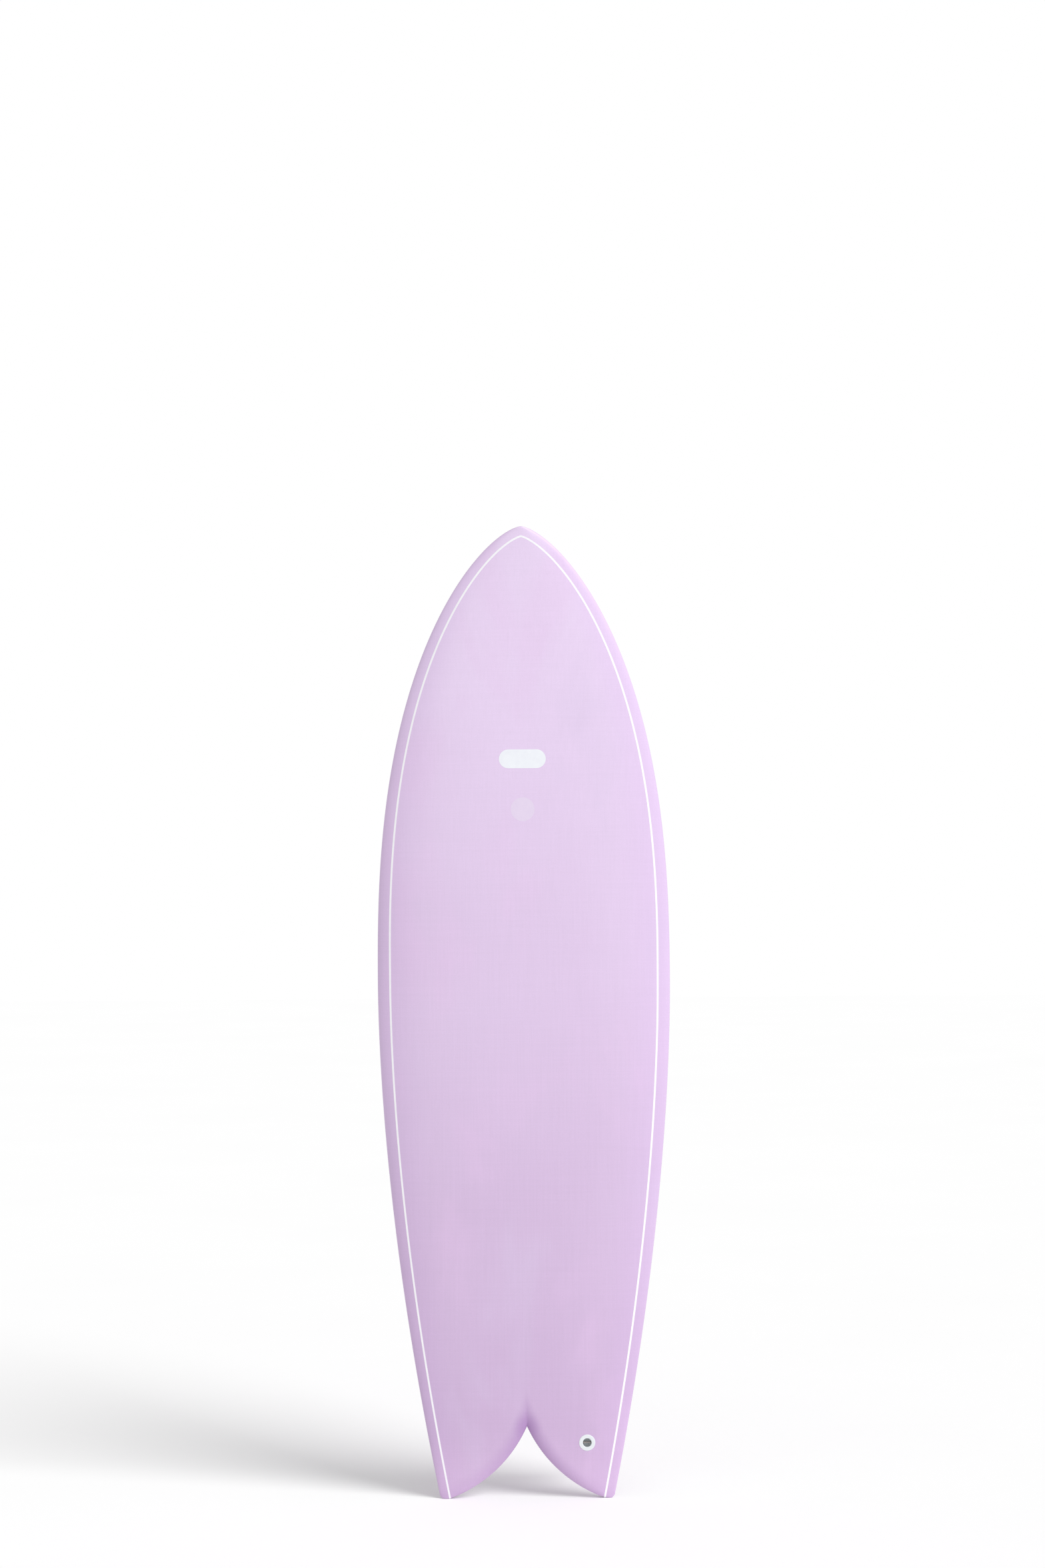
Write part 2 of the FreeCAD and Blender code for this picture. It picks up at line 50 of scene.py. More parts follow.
FLAT_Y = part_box("bottom_glass")[1].y / MM      # y of the flattest line of the bottom

# ---- the board's shape, as in the CAD model ----
LENGTH = 1753.0
HALF_WIDTH = 265.7
WIDE_POINT = 930.0
TAIL_HALF_WIDTH = 157.0
NOTCH_DEPTH = 130.0
TIP_INNER_X = 141.0
NOTCH_RADIUS = 243.0
TIP_CORNER = 4.0
FLAT_POINT = 820.0
NOSE_ROCKER = 115.0
TAIL_ROCKER = 50.0
THICKNESS = 63.5
NOSE_THICKNESS = 12.0
TAIL_THICKNESS = 18.0
RAIL_APEX = 0.38           # height of the rail's edge, as a part of the thickness
TIP_ROUND = 14.0           # the nose thins to nothing within this half width
NOSE_POWER = 2.5           # powers of the curves below
NOSE_ROUND = 1.5
TAIL_POWER = 1.78
NOSE_ROCKER_POWER = 2.6
TAIL_ROCKER_POWER = 2.0
THIN_POWER = 2.2
DECK_POWER = 2.6
DECK_ROUND = 1.9
BOTTOM_POWER = 12
SKIN = 0.7                 # thickness of the visible laminate
LINE_WIDTH = 3.4
LINE_INSET = 23.0
LINE_NOSE_INSET = 18.0
LINE_TAIL_INSET = 17.0
LINE_PROUD = 0.12

# ---- rounding of the tail's edges ----
ROLL_DEPTH = 8.2           # how far the deck drops at the notch's edge
ROLL_PART = 0.6            # at most this part of the deck's height over the rail's edge
ROLL_SPREAD = 3.6          # the roll is as wide as this many depths, less the next value
ROLL_NARROWING = 5.5
CREASE_ROUND = 2.6         # softens the crease above the crotch
CREASE_LENGTH = 18.0
TIP_END_ROUND = 2.0
BOTTOM_EDGE = 1.8

# ---- marks on the deck: a plain pill and a plain disc ----
PILL_HALF_LENGTH = 42.25
PILL_RADIUS = 17.0
PILL_Z = 1337.0
PILL_PROUD = 0.10
DISC_RADIUS = 21.5
DISC_Z = 1246.0
DISC_PROUD = 0.06
MARK_SKIN = 0.35
MARK_RINGS = 14
MARK_END_POINTS = 49
MARK_SIDE_POINTS = 14

# ---- leash plug: radii, and heights over the deck ----
PLUG_X = 108.6
PLUG_Z = 100.5
PLUG_FLANGE = 14.8
PLUG_FLANGE_ROUND = 1.1
PLUG_FLANGE_TOP = 0.7
PLUG_FLANGE_LOW = -2.2
PLUG_CUT = 14.2            # radius of the hole in the deck, under the flange
PLUG_BODY = 12.5
PLUG_BODY_LOW = -16.0
PLUG_MOUTH = 7.8
PLUG_MOUTH_ROUND = 1.2
PLUG_MOUTH_LOW = -2.0
PLUG_CUP = 9.6
PLUG_CUP_TOP = -2.8
PLUG_CUP_ROUND = 4.0
PLUG_CUP_LOW = -13.0

# ---- fins, their boxes and their tabs ----
FIN_X = 156.0
FIN_Z = 228.0
FIN_TOE = 2.0              # degrees
FIN_CANT = 5.0
BOX_LENGTH = 122.3         # of the opening in the bottom skin
BOX_WIDTH = 24.3
FIN_BASE = 146.0
FIN_SPAN = 122.0
FIN_RAKE = 66.0
FIN_RAKE_CURVE = 1.6
FIN_TAPER = 2.3
FIN_TIP_ROUND = 1.7
FIN_THICKNESS = 7.2
FIN_TIP_THICKNESS = 3.0
FIN_EDGE = 0.9
FIN_GAP = 0.6
FIN_TIP = 0.9995           # the last section, as a part of the span
FIN_LEVELS = 56
FOIL_STEPS = 40
TAB_LENGTH = 26.0
TAB_WIDTH = 6.6
TAB_DEPTH = 13.0
TAB_SPACING = 60.0
TAB_CORNER = 3.0

# ---- meshes ----
CUTTER_REACH = 9.0         # how far a cutter goes over and under the surface it cuts
SLOPE_STEP = 0.5
SHADE_ANGLE = 38.0         # degrees; edges that turn more are shaded sharp
DOUBLES = 2e-6             # metres
DEGENERATE = 1e-6
FIRST_STEP = 0.5           # between stations along the rail
STEP_GROWTH = 1.06
LARGEST_STEPS = ((120.0, 3.0), (320.0, 3.6), (LENGTH, 14.0))      # below each height
NOSE_START = 1600.0        # from here up the stations follow the half width
NOSE_MIDDLE = 30.0         # half width where they get closer together
NOSE_ROWS = 15
NOSE_LINE_ROWS = 3
NOSE_TIP_ROWS = 10
TIP_ROWS = 14              # rows between the tip's end and the first station
TIP_CLOSER = 1.5           # how much closer together rows or columns get at one side
RAIL_COLUMNS = 16
RAIL_CLOSER = 2.0
LINE_COLUMNS = 3
DECK_COLUMNS = 50
DECK_CLOSER = 1.35
LOBE_HEIGHT = 262.0        # the grids of the tail's lobes end at the first station over this
LOWEST_LINE_END = -8.0      # the pinline's end is looked for from this height up
RAIL_TURNS = 22            # steps of the curve that places the bottom's columns
NEAR_RAIL = 19             # how many of its points are used, near the rail
DECK_WALL_ROWS = 3         # between the deck and the rail's edge, round the tail
BOTTOM_WALL_ROWS = 4       # between the rail's edge and the bottom


def towards_nose(z):
    """0 at the widest point and 1 at the nose."""
    return np.clip((z - WIDE_POINT) / (LENGTH - WIDE_POINT), 0.0, 1.0)


def towards_tail(z):
    """0 at the widest point and 1 at the tail tips."""
    return np.clip((WIDE_POINT - z) / WIDE_POINT, 0.0, None)


def half_width(z):
    z = np.asarray(z, float)
    nose = HALF_WIDTH * (1.0 - towards_nose(z) ** NOSE_POWER) ** (1.0 / NOSE_ROUND)
    tail = HALF_WIDTH - (HALF_WIDTH - TAIL_HALF_WIDTH) * towards_tail(z) ** TAIL_POWER
    return np.where(z >= WIDE_POINT, nose, tail)


def slope(z):
    """Change of the half width with height."""
    z = np.asarray(z, float)
    up = towards_nose(z)
    nose = (-HALF_WIDTH / NOSE_ROUND
            * np.maximum(1.0 - up ** NOSE_POWER, 1e-12) ** (1.0 / NOSE_ROUND - 1.0)
            * NOSE_POWER * up ** (NOSE_POWER - 1.0) / (LENGTH - WIDE_POINT))
    tail = ((HALF_WIDTH - TAIL_HALF_WIDTH) * TAIL_POWER
            * towards_tail(z) ** (TAIL_POWER - 1.0) / WIDE_POINT)
    return np.where(z >= WIDE_POINT, nose, tail)


def rocker(z):
    """How far the bottom lies towards the deck from its flattest line."""
    up = np.clip((z - FLAT_POINT) / (LENGTH - FLAT_POINT), 0.0, None)
    down = np.clip((FLAT_POINT - z) / FLAT_POINT, 0.0, None)
    return NOSE_ROCKER * up ** NOSE_ROCKER_POWER + TAIL_ROCKER * down ** TAIL_ROCKER_POWER


def thickness(z):
    nose = (THICKNESS - NOSE_THICKNESS) * towards_nose(z) ** THIN_POWER
    tail = (THICKNESS - TAIL_THICKNESS) * towards_tail(z) ** THIN_POWER
    return THICKNESS - nose - tail


def quarter(distance, width):
    """0 at an edge and 1 from the width inwards, along a quarter of an ellipse."""
    return np.sqrt(1.0 - np.clip(1.0 - distance / width, 0.0, 1.0) ** 2)


def apex_y(z):
    """Y of the rail's edge."""
    return -rocker(z) - RAIL_APEX * thickness(z)


def across(x, z):
    """0 on the stringer and 1 at the rail."""
    return np.clip(np.abs(x) / np.maximum(half_width(z), 1e-6), 0.0, 1.0)


# centre of the right lobe's arc, which passes the crotch and the tip's inner corner
notch_chord = math.hypot(TIP_INNER_X, NOTCH_DEPTH)
notch_reach = math.sqrt(NOTCH_RADIUS ** 2 - (notch_chord / 2.0) ** 2)
ARC_X = TIP_INNER_X / 2.0 + notch_reach * NOTCH_DEPTH / notch_chord
ARC_Z = NOTCH_DEPTH / 2.0 + notch_reach * TIP_INNER_X / notch_chord


def arc_z(x):
    """Height of the notch's edge at x."""
    return ARC_Z - np.sqrt(NOTCH_RADIUS ** 2 - (x - ARC_X) ** 2)


def notch_distance(x, z):
    """Distance from the notch's edge, whose arc goes on in a straight line above the crotch."""
    soft = CREASE_ROUND * np.clip((z - NOTCH_DEPTH) / CREASE_LENGTH, 0.0, 1.0)
    away_x = np.hypot(x, soft) - ARC_X
    away_z = z - ARC_Z
    out_x = -ARC_X / NOTCH_RADIUS
    out_z = (NOTCH_DEPTH - ARC_Z) / NOTCH_RADIUS
    round_part = NOTCH_RADIUS - np.hypot(away_x, away_z)
    straight_part = NOTCH_RADIUS - (away_x * out_x + away_z * out_z)
    above = away_x * out_z - away_z * out_x > 0.0
    return np.where(above, straight_part, round_part)


def end_distances(x, z):
    """Distances from the tip's flat end and from its bevelled outer corner."""
    corner = (TAIL_HALF_WIDTH - TIP_CORNER + z - np.abs(x)) / math.sqrt(2.0)
    return np.maximum(z, 0.0), np.maximum(corner, 0.0)


def deck_y(x, z):
    """Y of the visible deck, with its edges rolled off round the tail."""
    height = (1.0 - RAIL_APEX) * thickness(z) * quarter(half_width(z), TIP_ROUND)
    height = height * (1.0 - across(x, z) ** DECK_POWER) ** (1.0 / DECK_ROUND)
    depth = np.minimum(ROLL_DEPTH, ROLL_PART * height)
    end, corner = end_distances(x, z)
    width = np.maximum(ROLL_SPREAD * depth - ROLL_NARROWING, 1.0)
    kept = quarter(np.maximum(notch_distance(x, z), 0.0), width)
    kept = kept * quarter(end, TIP_END_ROUND) * quarter(corner, TIP_END_ROUND)
    return apex_y(z) - height + depth * (1.0 - kept)


def bottom_y(x, z):
    """Y of the visible bottom, with small rounded edges round the tail."""
    height = RAIL_APEX * thickness(z) * quarter(half_width(z), TIP_ROUND)
    height = height * np.sqrt(np.maximum(1.0 - across(x, z) ** BOTTOM_POWER, 0.0))
    depth = np.minimum(BOTTOM_EDGE, 0.5 * height)
    end, corner = end_distances(x, z)
    kept = quarter(np.maximum(notch_distance(x, z), 0.0), BOTTOM_EDGE)
    kept = kept * quarter(end, BOTTOM_EDGE) * quarter(corner, BOTTOM_EDGE)
    return apex_y(z) + height - depth * (1.0 - kept)


def line_inset(z):
    """How far the middle of the pinline lies in from the rail."""
    return (LINE_INSET + (LINE_NOSE_INSET - LINE_INSET) * towards_nose(z)
            + (LINE_TAIL_INSET - LINE_INSET) * towards_tail(z) ** TAIL_POWER)


def inward(z, inset):
    """Plan point at an inset from the rail, square to the outline."""
    steep = slope(z)
    length = np.hypot(1.0, steep)
    return half_width(z) - inset / length, z + inset * steep / length


def solve(function, low, high):
    """Where an increasing function passes 0."""
    for _ in range(60):
        middle = (low + high) / 2.0
        if function(middle) < 0.0:
            low = middle
        else:
            high = middle
    return (low + high) / 2.0


def width_height(width):
    """Height at which the nose has a half width."""
    share = (1.0 - (width / HALF_WIDTH) ** NOSE_ROUND) ** (1.0 / NOSE_POWER)
    return WIDE_POINT + (LENGTH - WIDE_POINT) * share


# ---- stations along the rail, from the tail tip's corner to the nose ----
CORNER_Z = solve(lambda z: TAIL_HALF_WIDTH - TIP_CORNER + z - half_width(z), 0.0, 20.0)


def meeting_width(inset):
    """Half width at which a line at an inset from the nose's rail meets the stringer."""
    return solve(lambda width: inward(width_height(width), inset)[0], 0.5, NOSE_MIDDLE)


OUTER_W = meeting_width(LINE_NOSE_INSET - LINE_WIDTH / 2.0)
INNER_W = meeting_width(LINE_NOSE_INSET + LINE_WIDTH / 2.0)


def rail_stations():
    heights = [CORNER_Z]
    step = FIRST_STEP
    while heights[-1] < NOSE_START:
        heights.append(heights[-1] + step)
        limit = next(largest for below, largest in LARGEST_STEPS if heights[-1] < below)
        step = min(step * STEP_GROWTH, limit)
    widths = list(np.linspace(half_width(heights[-1]), NOSE_MIDDLE, NOSE_ROWS + 1)[1:])
    widths += list(np.linspace(NOSE_MIDDLE, INNER_W, NOSE_ROWS + 1)[1:])
    widths += list(np.linspace(INNER_W, OUTER_W, NOSE_LINE_ROWS + 1)[1:])
    widths += [OUTER_W * (1.0 - k / NOSE_TIP_ROWS) ** 2 for k in range(1, NOSE_TIP_ROWS + 1)]
    return np.array(heights + [float(width_height(w)) for w in widths])


STATIONS = rail_stations()
INNER_ROW = int(np.argmin(np.abs(half_width(STATIONS) - INNER_W)))
OUTER_ROW = int(np.argmin(np.abs(half_width(STATIONS) - OUTER_W)))
LOBE_TOP = int(np.searchsorted(STATIONS, LOBE_HEIGHT))


def fraction(points):
    """How far along a run of plan points each one is, from 0 to 1."""
    steps = np.hypot(*np.diff(points, axis=0).T)
    total = np.concatenate([[0.0], np.cumsum(steps)])
    return total / total[-1]


def coons(start, end, left, right):
    """Plan points filling four edges: start and end run the same way, as do left and right."""
    u = ((fraction(start) + fraction(end)) / 2.0)[None, :, None]
    v = ((fraction(left) + fraction(right)) / 2.0)[:, None, None]
    along = (1.0 - v) * start[None] + v * end[None]
    up = (1.0 - u) * left[:, None] + u * right[:, None]
    corners = ((1.0 - u) * (1.0 - v) * start[0] + u * (1.0 - v) * start[-1]
               + (1.0 - u) * v * end[0] + u * v * end[-1])
    return along + up - corners


def spread(low, high, count, power=1.0):
    """Numbers from low to high, closer together near low if the power is over 1."""
    return low + (high - low) * (np.arange(count + 1) / count) ** power


# ---- plan grids of the right half: rows from the tail up, columns outwards or inwards ----
inset = line_inset(STATIONS)
outer_line = np.stack(inward(STATIONS, inset - LINE_WIDTH / 2.0), 1)
inner_line = np.stack(inward(STATIONS, inset + LINE_WIDTH / 2.0), 1)
outer_line[OUTER_ROW, 0] = 0.0
inner_line[INNER_ROW, 0] = 0.0


def tail_run(offset):
    """Line points between the tail's edge and the first station, closer together at the edge."""
    def over_edge(z):
        x, height = inward(z, line_inset(z) + offset)
        edge = float(arc_z(x)) if x < TIP_INNER_X else 0.0
        return float(height) - edge
    end = solve(over_edge, LOWEST_LINE_END, CORNER_Z)
    z = spread(end, CORNER_Z, TIP_ROWS, TIP_CLOSER)
    return np.stack(inward(z, line_inset(z) + offset), 1)


inner_tail = tail_run(LINE_WIDTH / 2.0)
outer_tail = tail_run(-LINE_WIDTH / 2.0)
bevel_foot = np.array([TAIL_HALF_WIDTH - TIP_CORNER, 0.0])
bevel_top = np.array([float(half_width(CORNER_Z)), CORNER_Z])

rail_part = spread(0.0, 1.0, RAIL_COLUMNS, RAIL_CLOSER)              # from the rail inwards
rail_end = np.where(np.arange(len(STATIONS)) <= OUTER_ROW, inset - LINE_WIDTH / 2.0,
                    half_width(STATIONS) * np.hypot(1.0, slope(STATIONS)))
rail_end[-1] = 0.0
rail_x, rail_z = inward(STATIONS[:, None], rail_end[:, None] * rail_part)
rail_rows = np.stack([np.maximum(rail_x, 0.0), rail_z], 2)
rail_rows[OUTER_ROW:, -1, 0] = 0.0
rail_rows[-1] = (0.0, LENGTH)
bevel = bevel_foot + spread(0.0, 1.0, TIP_ROWS)[:, None] * (bevel_top - bevel_foot)
end_run = bevel_foot + rail_part[:, None] * (outer_tail[0] - bevel_foot)
rail_tip = coons(end_run, rail_rows[0], bevel, outer_tail)

line_part = spread(0.0, 1.0, LINE_COLUMNS)
line_rows = outer_line[:OUTER_ROW + 1, None] * (1.0 - line_part[:, None])
line_inner = inner_line[:OUTER_ROW + 1].copy()
for row in range(INNER_ROW, OUTER_ROW + 1):
    reach = float(half_width(STATIONS[row]) * np.hypot(1.0, slope(STATIONS[row])))
    line_inner[row] = (0.0, float(inward(STATIONS[row], reach)[1]))
line_rows = line_rows + line_inner[:, None] * line_part[:, None]
line_end = outer_tail[0] + line_part[:, None] * (inner_tail[0] - outer_tail[0])
line_end[1:-1, 1] = np.where(line_end[1:-1, 0] < TIP_INNER_X, arc_z(line_end[1:-1, 0]), 0.0)
line_tip = coons(line_end, line_rows[0], outer_tail, inner_tail)

deck_part = spread(0.0, 1.0, DECK_COLUMNS, DECK_CLOSER)              # from the stringer outwards
turn_crotch = math.atan2(NOTCH_DEPTH - ARC_Z, -ARC_X)
turn_tip = math.atan2(inner_tail[0, 1] - ARC_Z, inner_tail[0, 0] - ARC_X)
turns = turn_crotch % (2.0 * math.pi) + deck_part * ((turn_tip - turn_crotch) % (2.0 * math.pi))
notch_run = np.stack([ARC_X + NOTCH_RADIUS * np.cos(turns),
                      ARC_Z + NOTCH_RADIUS * np.sin(turns)], 1)
notch_run[0] = (0.0, NOTCH_DEPTH)
notch_run[-1] = inner_tail[0]
lobe_side = np.concatenate([inner_tail, inner_line[1:LOBE_TOP + 1]])
lobe_top = np.stack([deck_part * inner_line[LOBE_TOP, 0],
                     np.full(DECK_COLUMNS + 1, inner_line[LOBE_TOP, 1])], 1)
lobe_climb = (lobe_top[0, 1] - NOTCH_DEPTH) * fraction(lobe_side)
lobe_middle = np.stack([np.zeros(len(lobe_side)), NOTCH_DEPTH + lobe_climb], 1)
lobe = coons(notch_run, lobe_top, lobe_middle, lobe_side)
deck_up = np.stack([deck_part * inner_line[LOBE_TOP:INNER_ROW + 1, :1],
                    np.repeat(inner_line[LOBE_TOP:INNER_ROW + 1, 1:], DECK_COLUMNS + 1, 1)], 2)
deck_grid = np.concatenate([lobe, deck_up[1:]])

# the bottom's columns go on across the line's end and the tip's end
tail_edge = np.concatenate([notch_run, line_end[::-1][1:], end_run[::-1][1:]])
bottom_columns = len(tail_edge) - 1
rail_turn = spread(0.0, math.pi / 2.0, RAIL_TURNS)[:NEAR_RAIL]
near_rail = np.cos(rail_turn) ** (2.0 / BOTTOM_POWER)                # closer together at the rail
bottom_part = np.concatenate([np.linspace(0.0, near_rail[-1], bottom_columns + 2 - NEAR_RAIL),
                              near_rail[::-1][1:]])
bottom_side = np.concatenate([bevel, np.stack([half_width(STATIONS[1:LOBE_TOP + 1]),
                                               STATIONS[1:LOBE_TOP + 1]], 1)])
bottom_top = np.stack([bottom_part * half_width(STATIONS[LOBE_TOP]),
                       np.full(bottom_columns + 1, STATIONS[LOBE_TOP])], 1)
bottom_climb = (STATIONS[LOBE_TOP] - NOTCH_DEPTH) * fraction(bottom_side)
bottom_middle = np.stack([np.zeros(len(bottom_side)), NOTCH_DEPTH + bottom_climb], 1)
bottom_lobe = coons(tail_edge, bottom_top, bottom_middle, bottom_side)
bottom_up = np.stack([bottom_part * half_width(STATIONS[LOBE_TOP:, None]),
                      np.repeat(STATIONS[LOBE_TOP:, None], bottom_columns + 1, 1)], 2)
bottom_grid = np.concatenate([bottom_lobe, bottom_up[1:]])


def lifted(grid, surface, raise_by=0.0):
    """The grid's plan points set on a surface."""
    y = surface(grid[..., 0], grid[..., 1]) + raise_by
    return np.stack([grid[..., 0], y, grid[..., 1]], -1)


def wall(run, top, low, count):
    """Rows of points from one height to another along an edge seen in plan."""
    part = spread(0.0, 1.0, count)[:, None]
    y = top[None] * (1.0 - part) + low[None] * part
    return np.stack([np.broadcast_to(run[:, 0], y.shape), y,
                     np.broadcast_to(run[:, 1], y.shape)], -1)


def placed(name, data):
    """A new object in the scene."""
    piece = bpy.data.objects.new(name, data)
    bpy.context.scene.collection.objects.link(piece)
    return piece


class Shell:
    """Gathers grids of points in millimetres into one mesh."""

    def __init__(self):
        self.points = []
        self.faces = []

    def grid(self, rows, flip=False):
        base = len(self.points)
        count, width = rows.shape[:2]
        self.points += [tuple(p) for p in rows.reshape(-1, 3)]
        for i in range(count - 1):
            for j in range(width - 1):
                a = base + i * width + j
                face = (a, a + 1, a + width + 1, a + width)
                self.faces.append(face[::-1] if flip else face)

    def mirror(self):
        count = len(self.points)
        self.points += [(-x, y, z) for x, y, z in self.points]
        self.faces += [tuple(count + k for k in face[::-1]) for face in self.faces]

    def build(self, name, material, thick, cutters=()):
        """The finished object: doubles merged, made into a closed shell, cut, and shaded smooth."""
        mesh = bpy.data.meshes.new(name)
        points = [(x * MM, (y + FLAT_Y) * MM, z * MM) for x, y, z in self.points]
        mesh.from_pydata(points, [], self.faces)
        mesh.update()
        work = bmesh.new()
        work.from_mesh(mesh)
        bmesh.ops.remove_doubles(work, verts=work.verts, dist=DOUBLES)
        bmesh.ops.dissolve_degenerate(work, edges=work.edges, dist=DEGENERATE)
        work.to_mesh(mesh)
        work.free()
        piece = placed(name, mesh)
        solid = piece.modifiers.new("skin", "SOLIDIFY")
        solid.thickness = thick * MM
        solid.offset = -1.0
        for cutter in cutters:
            combine(piece, "cut", "DIFFERENCE", cutter)
        bake_modifiers(piece)
        finish(piece, material)
        return piece


def combine(piece, name, operation, other):
    """Adds a boolean of two pieces."""
    step = piece.modifiers.new(name, "BOOLEAN")
    step.operation = operation
    step.solver = "EXACT"
    step.object = other


def bake_modifiers(piece):
    """Turns a piece's modifiers into its own mesh."""
    graph = bpy.context.evaluated_depsgraph_get()
    graph.update()
    mesh = bpy.data.meshes.new_from_object(piece.evaluated_get(graph))
    piece.modifiers.clear()
    old = piece.data
    piece.data = mesh
    bpy.data.meshes.remove(old)


def finish(piece, material):
    """Shades a piece smooth apart from its sharp edges, and gives it its material."""
    piece.data.shade_smooth()
    piece.data.set_sharp_from_angle(angle=math.radians(SHADE_ANGLE))
    piece.data.materials.append(material)


def ready(piece, body, slot, *nodes):
    """Says what a piece rides on and the CAD nodes it stands for; the slot is not used."""
    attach(piece, body)
    if nodes:
        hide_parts(*nodes)


# ---------------------------------------------------------------- materials
def linear(red, green, blue):
    """A colour given as it shows on a screen, from 0 to 255, for a shader."""
    def one(value):
        value /= 255.0
        return value / 12.92 if value <= 0.04045 else ((value + 0.055) / 1.055) ** 2.4
    return one(red), one(green), one(blue), 1.0


class Nodes:
    """A short way to write a material's nodes."""

    def __init__(self, name, roughness=0.5, **sockets):
        self.material = bpy.data.materials.new(name)
        self.material.use_nodes = True
        self.tree = self.material.node_tree
        self.shader = self.tree.nodes["Principled BSDF"]
        self.shader.inputs["Roughness"].default_value = roughness
        for key, value in sockets.items():
            self.shader.inputs[key.replace("_", " ")].default_value = value
        self.place = self.tree.nodes.new("ShaderNodeTexCoord").outputs["Object"]

    def link(self, source, target):
        self.tree.links.new(source, target)

    def scaled(self, x, y, z):
        node = self.tree.nodes.new("ShaderNodeMapping")
        node.inputs["Scale"].default_value = (x, y, z)
        self.link(self.place, node.inputs["Vector"])
        return node.outputs["Vector"]

    def noise(self, scale, detail=3.0, rough=0.5, stretch=None, distortion=0.0):
        node = self.tree.nodes.new("ShaderNodeTexNoise")
        node.inputs["Scale"].default_value = scale
        node.inputs["Detail"].default_value = detail
        node.inputs["Roughness"].default_value = rough
        node.inputs["Distortion"].default_value = distortion
        self.link(self.scaled(*stretch) if stretch else self.place, node.inputs["Vector"])
        return node.outputs["Fac"]

    def wave(self, scale, direction, distortion=0.0):
        node = self.tree.nodes.new("ShaderNodeTexWave")
        node.bands_direction = direction
        node.inputs["Scale"].default_value = scale
        node.inputs["Distortion"].default_value = distortion
        self.link(self.place, node.inputs["Vector"])
        return node.outputs["Fac"]

    def range(self, value, low, high, to_low, to_high, smooth=False):
        node = self.tree.nodes.new("ShaderNodeMapRange")
        if smooth:
            node.interpolation_type = "SMOOTHSTEP"
        ends = {"From Min": low, "From Max": high, "To Min": to_low, "To Max": to_high}
        for key, number in ends.items():
            node.inputs[key].default_value = number
        self.link(value, node.inputs["Value"])
        return node.outputs["Result"]

    def math(self, operation, first, second=0.0):
        node = self.tree.nodes.new("ShaderNodeMath")
        node.operation = operation
        for socket, value in zip(node.inputs, (first, second)):
            if isinstance(value, (int, float)):
                socket.default_value = value
            else:
                self.link(value, socket)
        return node.outputs["Value"]

    def axis(self, name):
        node = self.tree.nodes.new("ShaderNodeSeparateXYZ")
        self.link(self.place, node.inputs["Vector"])
        return node.outputs[name]

    def share_of_width(self):
        """How far a place is from the stringer, as a part of the half width at its height."""
        height = self.axis("Z")
        wide, long = WIDE_POINT * MM, (LENGTH - WIDE_POINT) * MM
        up = self.math("POWER", self.range(height, wide, wide + long, 0.0, 1.0), NOSE_POWER)
        nose = self.math("POWER", self.math("SUBTRACT", 1.0, up), 1.0 / NOSE_ROUND)
        down = self.math("POWER", self.range(height, wide, 0.0, 0.0, 1.0), TAIL_POWER)
        tail = self.math("MULTIPLY", down, (HALF_WIDTH - TAIL_HALF_WIDTH) / HALF_WIDTH)
        half = self.math("MULTIPLY", self.math("SUBTRACT", nose, tail), HALF_WIDTH * MM)
        away = self.math("ABSOLUTE", self.axis("X"))
        return self.math("DIVIDE", away, self.math("MAXIMUM", half, MM))

    def length(self, x, z):
        """Length of a run in plan."""
        squares = self.math("ADD", self.math("MULTIPLY", x, x), self.math("MULTIPLY", z, z))
        return self.math("SQRT", squares)

    def from_notch(self):
        """Distance from the notch's edge, whose arc goes on in a straight line above the crotch."""
        away_x = self.math("SUBTRACT", self.math("ABSOLUTE", self.axis("X")), ARC_X * MM)
        away_z = self.math("SUBTRACT", self.axis("Z"), ARC_Z * MM)
        round_part = self.length(away_x, away_z)
        out_x = self.math("MULTIPLY", away_x, -ARC_X / NOTCH_RADIUS)
        out_z = self.math("MULTIPLY", away_z, (NOTCH_DEPTH - ARC_Z) / NOTCH_RADIUS)
        straight_part = self.math("ADD", out_x, out_z)
        above = self.math("GREATER_THAN", self.axis("Z"), NOTCH_DEPTH * MM)
        change = self.math("MULTIPLY", above, self.math("SUBTRACT", straight_part, round_part))
        return self.math("SUBTRACT", NOTCH_RADIUS * MM, self.math("ADD", round_part, change))

    def distance_from(self, x, z):
        """Distance in plan from a place given in millimetres."""
        return self.length(self.math("SUBTRACT", self.axis("X"), x * MM),
                           self.math("SUBTRACT", self.axis("Z"), z * MM))

    def mix(self, factor, first, second):
        node = self.tree.nodes.new("ShaderNodeMix")
        node.data_type = "RGBA"
        self.link(factor, node.inputs["Factor"])
        for key, value in (("A", first), ("B", second)):
            socket = [s for s in node.inputs if s.name == key and s.type == "RGBA"][0]
            if isinstance(value, tuple):
                socket.default_value = value
            else:
                self.link(value, socket)
        return [s for s in node.outputs if s.type == "RGBA"][0]

    def brighten(self, colour, factor):
        node = self.tree.nodes.new("ShaderNodeHueSaturation")
        self.link(colour, node.inputs["Color"])
        self.link(factor, node.inputs["Value"])
        return node.outputs["Color"]

    def colour(self, output):
        self.link(output, self.shader.inputs["Base Color"])

    def roughness(self, output):
        self.link(output, self.shader.inputs["Roughness"])

    def bump(self, *layers):
        """Layers of (height, depth in millimetres)."""
        normal = None
        for height, depth in layers:
            node = self.tree.nodes.new("ShaderNodeBump")
            node.inputs["Distance"].default_value = depth * MM
            node.inputs["Strength"].default_value = 1.0
            self.link(height, node.inputs["Height"])
            if normal:
                self.link(normal, node.inputs["Normal"])
            normal = node.outputs["Normal"]
        self.link(normal, self.shader.inputs["Normal"])
